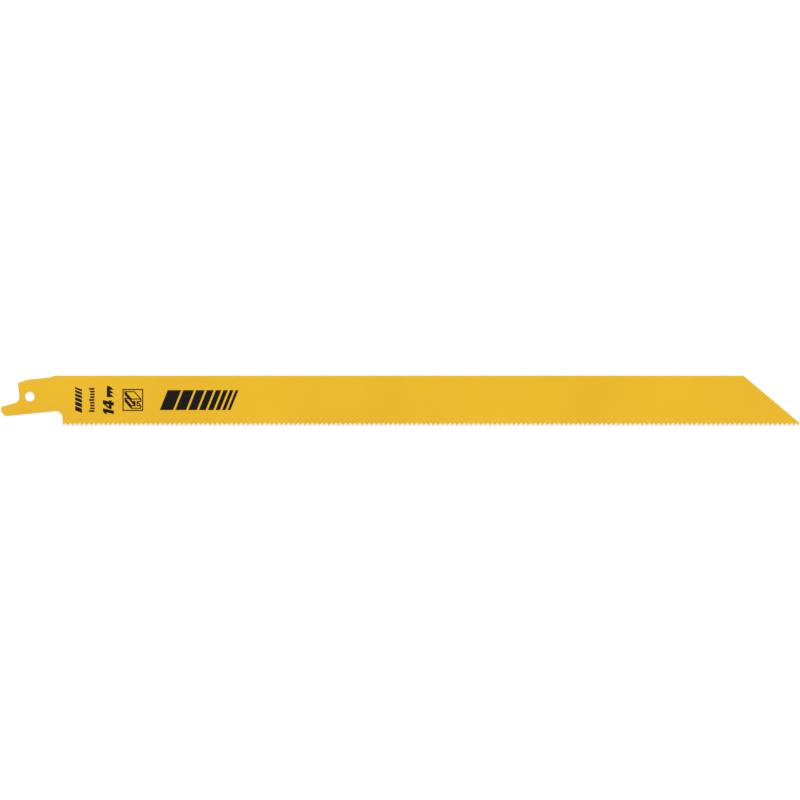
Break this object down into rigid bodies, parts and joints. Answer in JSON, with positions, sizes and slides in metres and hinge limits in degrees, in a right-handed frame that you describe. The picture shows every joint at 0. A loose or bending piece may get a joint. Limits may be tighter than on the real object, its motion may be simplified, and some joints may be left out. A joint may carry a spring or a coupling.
{
  "type": "reciprocating saw blade",
  "caption": "Long painted sheet-steel saw blade with set teeth along one edge, a slanted nose, and a hooked tang with a pin hole for a quick clamp.",
  "frame": {"origin": "centre of the tang hole, half way through the sheet", "axes": "+X along the spine towards the nose, +Y from the teeth towards the spine, +Z out of the printed side"},
  "size_m": [0.3051, 0.0191, 0.0014],
  "materials": {
    "blade_paint": "semi-gloss yellow paint all over, on spring steel with a high-speed steel tooth edge"
  },
  "bodies": {
    "root": {"saw_blade": "blade_paint"}
  },
  "joints": []
}
